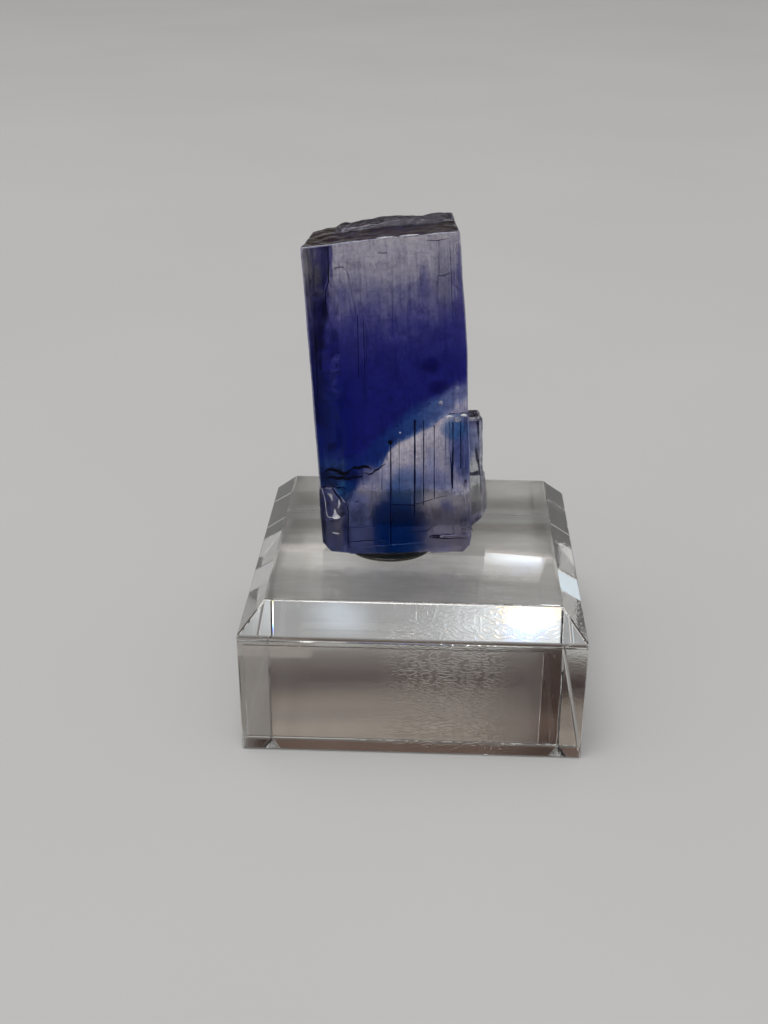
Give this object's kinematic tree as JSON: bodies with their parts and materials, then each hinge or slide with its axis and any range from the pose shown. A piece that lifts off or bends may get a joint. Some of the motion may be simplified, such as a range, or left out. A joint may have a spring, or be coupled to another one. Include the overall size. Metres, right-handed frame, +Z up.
{
  "type": "blue halite crystal on a clear acrylic display block",
  "caption": "Tall see-through blue halite crystal with a smaller crystal grown on its side, fixed upright on a bevelled clear block with a blank label film.",
  "frame": {"origin": "centre of the block's underside, on the surface it stands on", "axes": "+Z up along the crystal, -Y to the front with the label, +X to the viewer's right"},
  "size_m": [0.0382, 0.0383, 0.0554],
  "materials": {
    "halite": "clear to violet-blue, cleaved faces",
    "adhesive": "clear pressed adhesive",
    "acrylic": "polished, lightly scratched",
    "label": "clear film, blank"
  },
  "bodies": {
    "root": {"halite_crystal": "halite", "mounting_tack": "adhesive", "acrylic_base": "acrylic", "label_film": "label"}
  },
  "joints": []
}
